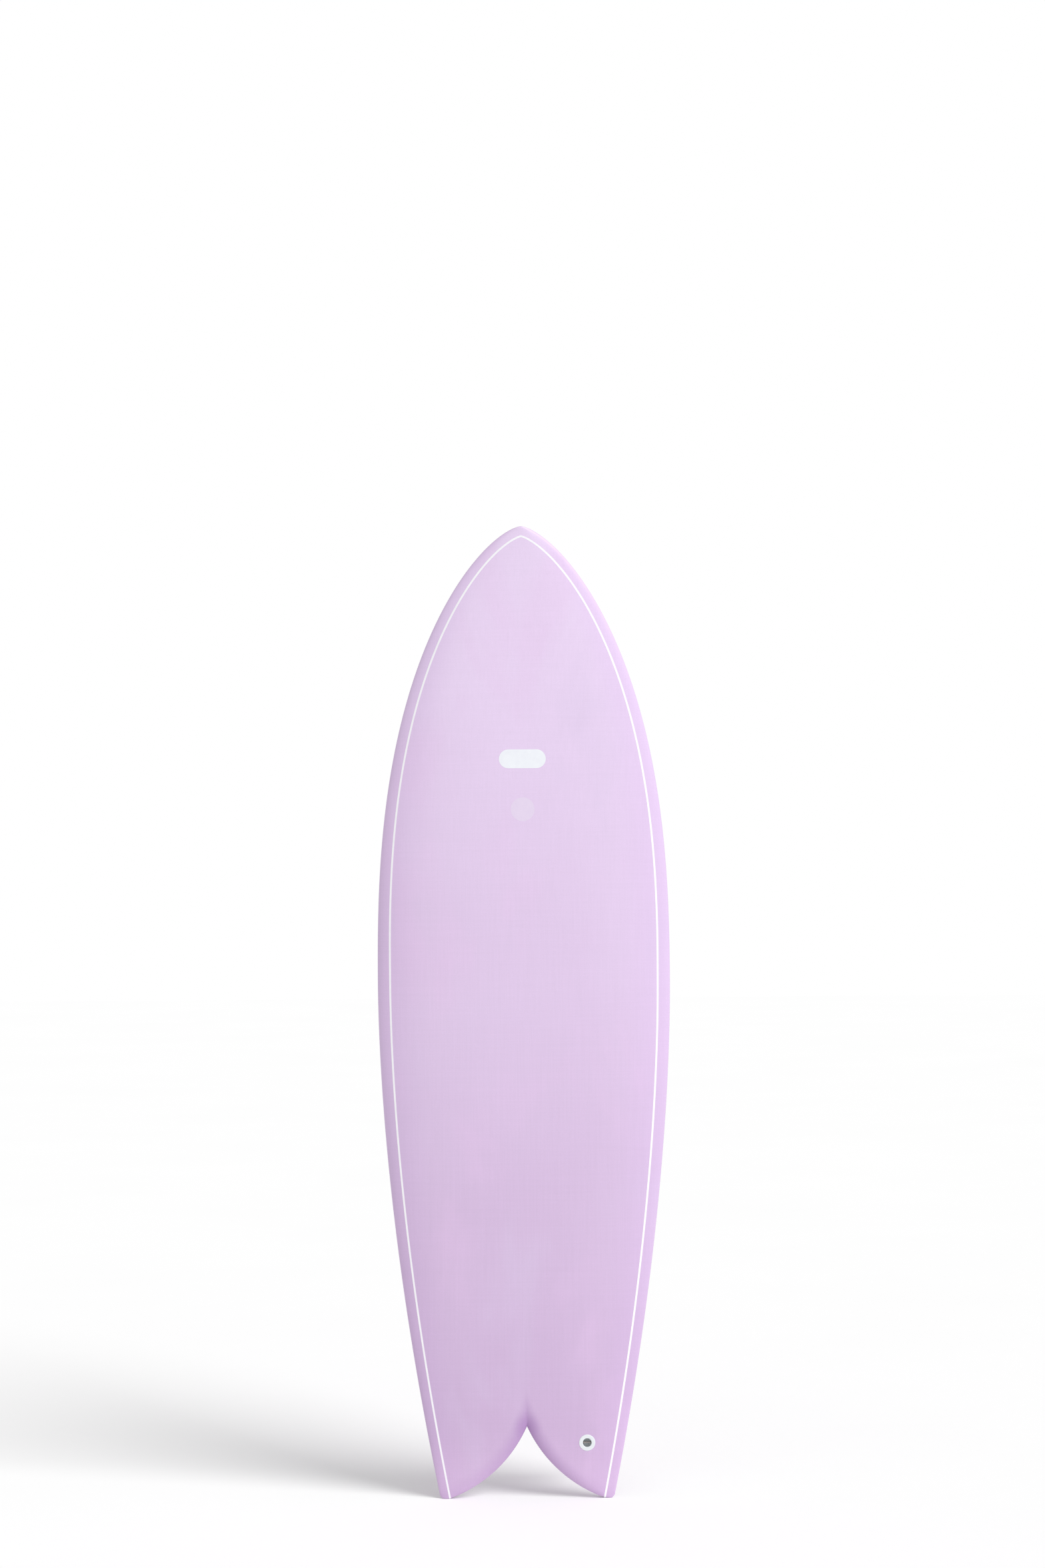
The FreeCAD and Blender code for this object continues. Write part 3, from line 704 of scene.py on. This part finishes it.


# painted shade and painted light: the deck's colour runs from a tail painted darker to a nose
# painted paler
SHADED_TAIL_TINT = linear(199, 173, 207)
LIT_NOSE_TINT = linear(228, 208, 237)
PINK_TINT = linear(224, 193, 229)
GREY_TINT = linear(209, 192, 221)
RAIL_TINT = linear(206, 174, 220)
# partly a deeper resin tint and partly painted shade, along the notch's edge and in the crease
# above the crotch
NOTCH_TINT_AND_SHADE = linear(170, 134, 185)


def laminate(name, edge):
    """Tinted resin over glass cloth, sanded to a satin finish, with painted light and shade:
    painted darker towards the tail and paler towards the nose and over the lobes' lowest part,
    deeper towards the rails, deeper along the notch partly as resin and partly as painted shade,
    and painted shade in the crease above the crotch, with soft clouds of a pinker and a greyer
    tint, a fine speckle and faint streaks of threads. The edge is how much of the rails' tint
    shows."""
    n = Nodes(name, Coat_Weight=0.10, Coat_Roughness=0.34, Specular_IOR_Level=0.40)
    # painted shade and painted light: darker towards the tail, paler towards the nose, along a
    # height that wavers a little
    drift = n.range(n.noise(2.6, 2.0), 0.3, 0.7, -0.12, 0.12)
    climb = n.range(n.math("ADD", n.axis("Z"), drift), 0.12, 1.62, 0.0, 1.0)
    tint = n.mix(climb, SHADED_TAIL_TINT, LIT_NOSE_TINT)
    clouds = n.noise(7.0, 3.0, 0.55, (1.0, 1.0, 0.45), 0.4)
    tint = n.mix(n.range(clouds, 0.52, 0.72, 0.0, 0.30, True), tint, PINK_TINT)
    tint = n.mix(n.range(clouds, 0.48, 0.28, 0.0, 0.30, True), tint, GREY_TINT)
    tint = n.mix(n.range(n.share_of_width(), 0.60, 0.97, 0.0, edge, True), tint, RAIL_TINT)
    height = n.axis("Z")
    # painted light: the lobes are painted paler and pinker over their lowest 130 mm
    tint = n.mix(n.range(height, 0.02, 0.13, 0.25, 0.0, True), tint, PINK_TINT)
    # partly a deeper resin tint and partly painted shade along the notch's rolled edge, stronger
    # towards the crotch
    notch_tint_and_shade = n.range(n.from_notch(), 0.0, 0.030, 1.0, 0.0, True)
    notch_tint_and_shade = n.math("MULTIPLY", notch_tint_and_shade, n.range(height, 0.02, 0.135, 0.2, 0.78))
    tint = n.mix(notch_tint_and_shade, tint, NOTCH_TINT_AND_SHADE)
    # painted shade in the crease above the crotch
    crotch_crease_shade = n.range(n.distance_from(0.0, NOTCH_DEPTH), 0.0, 0.032, 0.75, 0.0, True)
    tint = n.mix(crotch_crease_shade, tint, NOTCH_TINT_AND_SHADE)
    speckle = n.noise(520.0, 2.0, 0.6)
    upright = n.noise(1.0, 3.0, 0.62, (380.0, 380.0, 8.0))
    level = n.noise(1.0, 3.0, 0.62, (7.0, 7.0, 380.0))
    fine = n.math("ADD", n.range(speckle, 0.25, 0.75, -0.020, 0.020),
                  n.range(upright, 0.25, 0.75, -0.018, 0.018))
    fine = n.math("ADD", fine, n.range(level, 0.25, 0.75, -0.013, 0.013))
    n.colour(n.brighten(tint, n.math("ADD", fine, 1.0)))
    n.roughness(n.math("ADD", n.range(n.noise(38.0, 4.0, 0.6), 0.3, 0.7, 0.42, 0.52),
                       n.range(speckle, 0.3, 0.7, -0.03, 0.03)))
    weave = n.math("MULTIPLY", n.wave(320.0, "X"), n.wave(320.0, "Z"))
    n.bump((n.noise(9.0, 2.0, 0.5), 0.25), (weave, 0.006), (speckle, 0.012))
    return n.material


def white_paint(name, shade, edge):
    """Opaque white resin, a little uneven."""
    n = Nodes(name, Coat_Weight=0.15, Coat_Roughness=0.3)
    n.colour(n.mix(n.range(n.noise(70.0, 4.0, 0.6), 0.35, 0.75, 0.0, 0.6), shade, edge))
    n.roughness(n.range(n.noise(240.0, 3.0, 0.6), 0.3, 0.7, 0.32, 0.46))
    n.bump((n.noise(420.0, 2.0, 0.5), 0.02), (n.noise(60.0, 2.0, 0.5), 0.05))
    return n.material


def moulded(name, shade, dark):
    """Injection-moulded plastic with a fine grain."""
    n = Nodes(name)
    n.colour(n.mix(n.range(n.noise(90.0, 4.0, 0.6), 0.35, 0.8, 0.0, 0.5), shade, dark))
    n.roughness(n.range(n.noise(300.0, 3.0, 0.6), 0.3, 0.7, 0.33, 0.45))
    n.bump((n.noise(1100.0, 2.0, 0.6), 0.02))
    return n.material


# both materials carry painted light and shade: a darker tail, a paler nose and lobe feet, and shade
# along the notch and crotch
deck_look = laminate("tinted deck resin with painted light and shade", 0.22)
rail_look = laminate("tinted rail resin with painted light and shade", 0.26)
line_look = white_paint("white pinline resin", linear(247, 246, 250), linear(238, 236, 244))
pill_look = white_paint("white mark resin", linear(236, 239, 244), linear(228, 230, 238))
disc_look = white_paint("faint mark resin", linear(224, 209, 232), linear(218, 202, 228))
plug_look = moulded("white plug plastic", linear(224, 229, 231), linear(213, 219, 223))
box_look = moulded("fin box plastic", linear(228, 230, 234), linear(214, 216, 222))

fin_look = Nodes("fin fibreglass", Coat_Weight=0.3, Coat_Roughness=0.12)
layers = fin_look.range(fin_look.noise(9.0, 2.0, 0.5, (1.0, 1.0, 1.0), 0.6), 0.35, 0.65, 0.0, 1.0)
fin_look.colour(fin_look.mix(layers, linear(228, 231, 234), linear(214, 219, 224)))
cloth = fin_look.math("MULTIPLY", fin_look.wave(260.0, "Z", 0.6), fin_look.wave(260.0, "Y", 0.6))
fin_look.roughness(fin_look.range(fin_look.noise(60.0, 3.0), 0.3, 0.7, 0.22, 0.34))
fin_look.bump((cloth, 0.010), (fin_look.noise(14.0, 2.0), 0.04))

steel = Nodes("brushed steel", Metallic=1.0)
steel.colour(steel.mix(steel.noise(90.0, 3.0), linear(176, 170, 166), linear(150, 146, 143)))
brushing = steel.noise(1.0, 3.0, 0.6, (40.0, 900.0, 900.0))
steel.roughness(steel.range(brushing, 0.3, 0.7, 0.22, 0.42))
steel.bump((steel.noise(1.0, 2.0, 0.6, (60.0, 1500.0, 1500.0)), 0.01))

foam = Nodes("shaped foam", 0.8)
foam.colour(foam.mix(foam.noise(140.0, 4.0), linear(246, 243, 232), linear(232, 226, 208)))
foam.bump((foam.noise(900.0, 3.0), 0.15))

wood = Nodes("stringer wood", 0.6)
grain = wood.noise(1.0, 4.0, 0.6, (220.0, 90.0, 4.0), 0.4)
wood.colour(wood.mix(grain, linear(214, 180, 132), linear(176, 134, 88)))
wood.bump((grain, 0.08))


# ---------------------------------------------------------------- places on the board
def y_at(surface, x, z):
    """Y of a surface at one place."""
    return float(surface(np.array(x), np.array(z)))


def slopes(surface, x, z):
    """How a surface's y changes along x and along z at one place."""
    step = SLOPE_STEP
    along_x = (y_at(surface, x + step, z) - y_at(surface, x - step, z)) / (2.0 * step)
    along_z = (y_at(surface, x, z + step) - y_at(surface, x, z - step)) / (2.0 * step)
    return along_x, along_z


# the leash plug's own z axis points out of the deck
plug_slopes = slopes(deck_y, PLUG_X, PLUG_Z)
plug_out = Vector((plug_slopes[0], -1.0, plug_slopes[1])).normalized()
plug_turn = plug_out.to_track_quat("Z", "Y").to_matrix().to_4x4()
plug_place = Vector((PLUG_X, y_at(deck_y, PLUG_X, PLUG_Z) + FLAT_Y, PLUG_Z))
plug_frame = Matrix.Translation(plug_place * MM) @ plug_turn

# the right fin's own z axis points out of the bottom, tilted outwards, and its y axis to its front
fin_slope = slopes(bottom_y, FIN_X, FIN_Z)[1]
toe = math.radians(FIN_TOE)
cant = math.radians(FIN_CANT)
chord = Vector((-math.sin(toe), fin_slope, math.cos(toe)))
square = Vector((0.0, 1.0, -fin_slope)).normalized()
outboard = square.cross(chord).normalized()
fin_axis = square * math.cos(cant) + outboard * math.sin(cant)
fin_y = (chord - fin_axis * chord.dot(fin_axis)).normalized()
fin_x = fin_y.cross(fin_axis)
fin_frame = Matrix((fin_x, fin_y, fin_axis)).transposed().to_4x4()
fin_frame.translation = Vector((FIN_X, y_at(bottom_y, FIN_X, FIN_Z) + FLAT_Y, FIN_Z)) * MM
mirror_x = Matrix.Scale(-1.0, 4, (1.0, 0.0, 0.0))


def cylinder(name, radius, matrix):
    """A closed cutter, round its own z axis."""
    mesh = bpy.data.meshes.new(name)
    work = bmesh.new()
    bmesh.ops.create_cone(work, cap_ends=True, segments=96, radius1=radius * MM,
                          radius2=radius * MM, depth=2.0 * CUTTER_REACH * MM)
    work.to_mesh(mesh)
    work.free()
    piece = placed(name, mesh)
    piece.matrix_world = matrix
    return piece


def stadium(name, length, width, matrix):
    """A closed cutter with round ends along its own y axis."""
    steps = 32
    radius = width / 2.0
    reach = length / 2.0 - radius
    outline = []
    for centre, start in ((reach, 0.0), (-reach, math.pi)):
        for i in range(steps + 1):
            angle = start + math.pi * i / steps
            outline.append((radius * math.cos(angle), centre + radius * math.sin(angle)))
    count = len(outline)
    points = [(x * MM, y * MM, z * MM) for z in (-CUTTER_REACH, CUTTER_REACH) for x, y in outline]
    faces = [tuple(range(count))[::-1], tuple(range(count, 2 * count))]
    faces += [(i, (i + 1) % count, count + (i + 1) % count, count + i) for i in range(count)]
    mesh = bpy.data.meshes.new(name)
    mesh.from_pydata(points, [], faces)
    piece = placed(name, mesh)
    piece.matrix_world = matrix
    return piece


# ---------------------------------------------------------------- laminate pieces
plug_cutter = cylinder("plug_cutter", PLUG_CUT, plug_frame)
box_cutters = []
for side, turn in (("right", fin_frame), ("left", mirror_x @ fin_frame @ mirror_x)):
    box_cutters.append(stadium("box_cutter_" + side, BOX_LENGTH, BOX_WIDTH, turn))

deck = Shell()
deck.grid(lifted(deck_grid, deck_y))
deck_edge = deck_y(notch_run[:, 0], notch_run[:, 1])
middle_edge = apex_y(notch_run[:, 1])
deck.grid(wall(notch_run, deck_edge, middle_edge, DECK_WALL_ROWS), flip=True)
deck.mirror()
deck_skin = deck.build("deck_skin", deck_look, SKIN, [plug_cutter])

line = Shell()
line_grid = np.concatenate([line_tip, line_rows[1:]])
line.grid(lifted(line_grid, deck_y, -LINE_PROUD), flip=True)
line_edge = deck_y(line_end[:, 0], line_end[:, 1])
line.grid(wall(line_end, line_edge - LINE_PROUD, apex_y(line_end[:, 1]), DECK_WALL_ROWS))
line.mirror()
pinline = line.build("pinline", line_look, SKIN)

rail = Shell()
rail_grid = np.concatenate([rail_tip, rail_rows[1:]])
rail.grid(lifted(rail_grid, deck_y), flip=True)
rail.grid(lifted(bottom_grid, bottom_y), flip=True)
low_edge = bottom_y(tail_edge[:, 0], tail_edge[:, 1])
half_edge = apex_y(tail_edge[:, 1])
rail.grid(wall(tail_edge, half_edge, low_edge, BOTTOM_WALL_ROWS), flip=True)
for run in (end_run[::-1], bevel):
    high_edge = deck_y(run[:, 0], run[:, 1])
    rail.grid(wall(run, high_edge, apex_y(run[:, 1]), DECK_WALL_ROWS), flip=True)
low_edge = bottom_y(bevel[:, 0], bevel[:, 1])
rail.grid(wall(bevel, apex_y(bevel[:, 1]), low_edge, BOTTOM_WALL_ROWS), flip=True)
rail.mirror()
bottom_skin = rail.build("rail_and_bottom_skin", rail_look, SKIN, box_cutters)
for cutter in box_cutters + [plug_cutter]:
    bpy.data.objects.remove(cutter)


# ---------------------------------------------------------------- plain marks on the deck
def mark(name, half_length, radius, height, proud, material):
    """A flat mark with round ends, laid on the deck just proud of it."""
    turns = np.linspace(-math.pi / 2.0, math.pi / 2.0, MARK_END_POINTS)
    reach = half_length - radius
    end = np.stack([reach + radius * np.cos(turns), radius * np.sin(turns)], 1)
    half = end
    if reach:
        side = np.linspace(reach, -reach, MARK_SIDE_POINTS)[1:-1]
        half = np.concatenate([end, np.stack([side, np.full(len(side), radius)], 1)])
    outline = np.concatenate([half, -half, half[:1]])
    grid = outline[None] * spread(0.0, 1.0, MARK_RINGS)[:, None, None] + (0.0, height)
    shell = Shell()
    shell.grid(lifted(grid, deck_y, -proud), flip=True)
    return shell.build(name, material, MARK_SKIN)


ready(deck_skin, "board", "deck_laminate", "deck_glass")
ready(pinline, "board", "white_resin", "pinline_left", "pinline_right")
ready(bottom_skin, "board", "rail_laminate", "bottom_glass")

pill = mark("deck_pill_mark", PILL_HALF_LENGTH, PILL_RADIUS, PILL_Z, PILL_PROUD, pill_look)
ready(pill, "board", "mark_white", "deck_pill")
disc = mark("deck_disc_mark", DISC_RADIUS, DISC_RADIUS, DISC_Z, DISC_PROUD, disc_look)
ready(disc, "board", "mark_white", "deck_disc")


# ---------------------------------------------------------------- leash plug
def bend(radius, height, size, start, end):
    """Points of a rounded corner about a centre, from one angle to another in degrees."""
    steps = 8
    points = []
    for i in range(steps + 1):
        angle = math.radians(start + (end - start) * i / steps)
        points.append((radius + size * math.cos(angle), height + size * math.sin(angle)))
    return points


def turned(name, profile, matrix, material):
    """A closed piece turned round its own z axis, from radii and heights that start and end on
    the axis."""
    segments = 128
    points = []
    rings = []
    for radius, height in profile:
        base = len(points)
        if radius == 0.0:
            points.append(Vector((0.0, 0.0, height)))
            rings.append([base] * segments)
            continue
        for i in range(segments):
            angle = 2.0 * math.pi * i / segments
            points.append(Vector((radius * math.cos(angle), radius * math.sin(angle), height)))
        rings.append(list(range(base, base + segments)))
    faces = []
    for low, high in zip(rings, rings[1:]):
        for i in range(segments):
            j = (i + 1) % segments
            faces.append(tuple(dict.fromkeys((low[i], low[j], high[j], high[i]))))
    mesh = bpy.data.meshes.new(name)
    mesh.from_pydata([matrix @ (point * MM) for point in points], [], faces)
    piece = placed(name, mesh)
    finish(piece, material)
    return piece


plug_profile = [(0.0, PLUG_BODY_LOW), (PLUG_BODY, PLUG_BODY_LOW),
                (PLUG_BODY, PLUG_FLANGE_LOW), (PLUG_FLANGE, PLUG_FLANGE_LOW)]
plug_profile += bend(PLUG_FLANGE - PLUG_FLANGE_ROUND, PLUG_FLANGE_TOP - PLUG_FLANGE_ROUND,
                     PLUG_FLANGE_ROUND, 0.0, 90.0)
plug_profile += bend(PLUG_MOUTH + PLUG_MOUTH_ROUND, PLUG_FLANGE_TOP - PLUG_MOUTH_ROUND,
                     PLUG_MOUTH_ROUND, 90.0, 180.0)
plug_profile += [(PLUG_MOUTH, PLUG_MOUTH_LOW), (PLUG_CUP, PLUG_CUP_TOP)]
plug_profile += bend(PLUG_CUP - PLUG_CUP_ROUND, PLUG_CUP_LOW + PLUG_CUP_ROUND,
                     PLUG_CUP_ROUND, 0.0, -90.0)
plug_profile += [(0.0, PLUG_CUP_LOW)]
plug = turned("leash_plug", plug_profile, plug_frame, plug_look)
ready(plug, "board", "plug_plastic", "leash_plug_cup")

# ---------------------------------------------------------------- fins
# the foil's thickness at these parts of the chord, as shares of the thickest place, and the sum
# of powers that runs through them
foil_parts = np.array([0.08, 0.36, 0.72, 1.0])
foil_shares = np.array([0.62, 1.0, 0.62, FIN_EDGE / FIN_THICKNESS])
FOIL_POWERS = np.array([0.5, 1.0, 2.0, 3.0])
FOIL_WEIGHTS = np.linalg.solve(foil_parts[:, None] ** FOIL_POWERS, foil_shares)


def foil_section(level):
    """Points round the fin at one height: along the curved side to the trailing edge, then back."""
    along = level / FIN_SPAN
    length = FIN_BASE * (1.0 - along ** FIN_TAPER) ** (1.0 / FIN_TIP_ROUND)
    thick = FIN_THICKNESS + (FIN_TIP_THICKNESS - FIN_THICKNESS) * along
    thick *= math.sqrt(length / FIN_BASE)
    front = length / 2.0 - FIN_RAKE * along ** FIN_RAKE_CURVE
    part = (1.0 - np.cos(np.pi * np.arange(FOIL_STEPS + 1) / FOIL_STEPS)) / 2.0
    curved = TAB_WIDTH / 2.0 - thick * (part[:, None] ** FOIL_POWERS) @ FOIL_WEIGHTS
    x = np.concatenate([curved, np.full(FOIL_STEPS, TAB_WIDTH / 2.0)])
    y = front - length * np.concatenate([part, part[:0:-1]])
    return np.stack([x, y, np.full(len(x), FIN_GAP + level)], 1)


def closed_mesh(name, rings, matrix):
    """An object from rings of as many points each, with its two ends closed."""
    count = len(rings[0])
    points = [matrix @ (Vector(point) * MM) for ring in rings for point in ring]
    faces = [tuple(range(count)), tuple(range((len(rings) - 1) * count, len(rings) * count))]
    for k in range(len(rings) - 1):
        for i in range(count):
            j = (i + 1) % count
            faces.append((k * count + i, k * count + j, (k + 1) * count + j, (k + 1) * count + i))
    mesh = bpy.data.meshes.new(name)
    mesh.from_pydata(points, [], faces)
    work = bmesh.new()
    work.from_mesh(mesh)
    bmesh.ops.recalc_face_normals(work, faces=work.faces)
    work.to_mesh(mesh)
    work.free()
    return placed(name, mesh)


def tab_ring(x, middle):
    """A tab's side, with its two lower corners rounded."""
    half = TAB_LENGTH / 2.0
    low = TAB_CORNER - TAB_DEPTH
    side = [(half, FIN_GAP)]
    side += bend(half - TAB_CORNER, low, TAB_CORNER, 0.0, -90.0)
    side += bend(TAB_CORNER - half, low, TAB_CORNER, -90.0, -180.0)
    side += [(-half, FIN_GAP)]
    return [(x, middle + y, z) for y, z in side]


levels = [FIN_SPAN * FIN_TIP * math.sin(math.pi / 2.0 * i / FIN_LEVELS)
          for i in range(FIN_LEVELS + 1)]
for side, turn in (("right", fin_frame), ("left", mirror_x @ fin_frame)):
    blade = closed_mesh("fin_blade_" + side, [foil_section(level) for level in levels], turn)
    tabs = []
    for middle in (-TAB_SPACING / 2.0, TAB_SPACING / 2.0):
        rings = [tab_ring(x, middle) for x in (-TAB_WIDTH / 2.0, TAB_WIDTH / 2.0)]
        tabs.append(closed_mesh("tab", rings, turn))
        combine(blade, "tab", "UNION", tabs[-1])
    bake_modifiers(blade)
    finish(blade, fin_look.material)
    ready(blade, "fin_" + side, "fin_fibreglass", "fin_" + side)
    for piece in tabs:
        bpy.data.objects.remove(piece)

# ---------------------------------------------------------------- carried-over CAD nodes
LOOKS = {
    "foam_core_left": foam.material, "foam_core_right": foam.material, "stringer": wood.material,
    "leash_pin": steel.material, "leash_plug_insert": foam.material,
    "fin_box_left": box_look, "fin_box_right": box_look,
    "fin_box_insert_left": foam.material, "fin_box_insert_right": foam.material,
    "fin_screws_left": steel.material, "fin_screws_right": steel.material,
}
for name, look in LOOKS.items():
    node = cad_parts[name]
    node.data.materials.clear()
    node.data.materials.append(look)

# ---------------------------------------------------------------- floor, light and camera
FLOOR = 14.0               # half its side, in metres
SUN_ENERGY = 2.08
SUN_ANGLE = 35.0           # degrees; a wide sun throws soft shadows
SUN_DIRECTION = (-0.62, 0.47, -0.63)
FILL_LIGHT = 0.60
BACKDROP = 1.0
VIEW_HEIGHT = 2.831        # metres of the board's plane that fill the picture's height
VIEW_DISTANCE = 6.0
BOARD_PLANE = -0.05
CAMERA_HEIGHT = 1.2915
CAMERA_ROLL = 0.4          # degrees
SENSOR = 36.0

floor_mesh = bpy.data.meshes.new("floor")
floor_corners = [(-FLOOR, -FLOOR, 0.0), (FLOOR, -FLOOR, 0.0),
                 (FLOOR, FLOOR, 0.0), (-FLOOR, FLOOR, 0.0)]
floor_mesh.from_pydata(floor_corners, [], [(0, 1, 2, 3)])
floor = placed("floor", floor_mesh)
floor_look = Nodes("pale floor", 1.0, Specular_IOR_Level=0.0)
clouds = floor_look.noise(1.4, 4.0, 0.6)
floor_look.colour(floor_look.mix(clouds, linear(254, 254, 254), linear(251, 251, 251)))
floor_look.bump((floor_look.noise(30.0, 3.0), 0.2))
floor.data.materials.append(floor_look.material)

sun_data = bpy.data.lights.new("key_light", "SUN")
sun_data.energy = SUN_ENERGY
sun_data.angle = math.radians(SUN_ANGLE)
sun = placed("key_light", sun_data)
sun.rotation_mode = "QUATERNION"
sun.rotation_quaternion = Vector(SUN_DIRECTION).to_track_quat("-Z", "Y")

# the surroundings look white, and light the board less than that
world = bpy.data.worlds.new("pale surroundings")
bpy.context.scene.world = world
world.use_nodes = True
tree = world.node_tree
ground = tree.nodes["Background"]
ground.inputs["Color"].default_value = (1.0, 1.0, 1.0, 1.0)
path = tree.nodes.new("ShaderNodeLightPath")
amount = tree.nodes.new("ShaderNodeMapRange")
amount.inputs["To Min"].default_value = FILL_LIGHT
amount.inputs["To Max"].default_value = BACKDROP
tree.links.new(path.outputs["Is Camera Ray"], amount.inputs["Value"])
tree.links.new(amount.outputs["Result"], ground.inputs["Strength"])

camera_data = bpy.data.cameras.new("camera")
camera_data.sensor_width = SENSOR
camera_data.lens = SENSOR * VIEW_DISTANCE / VIEW_HEIGHT
camera = placed("camera", camera_data)
camera.location = (0.0, BOARD_PLANE - VIEW_DISTANCE, CAMERA_HEIGHT)
camera.rotation_euler = (math.radians(90.0), math.radians(CAMERA_ROLL), 0.0)
bpy.context.scene.camera = camera

bpy.context.scene.view_settings.view_transform = "Standard"
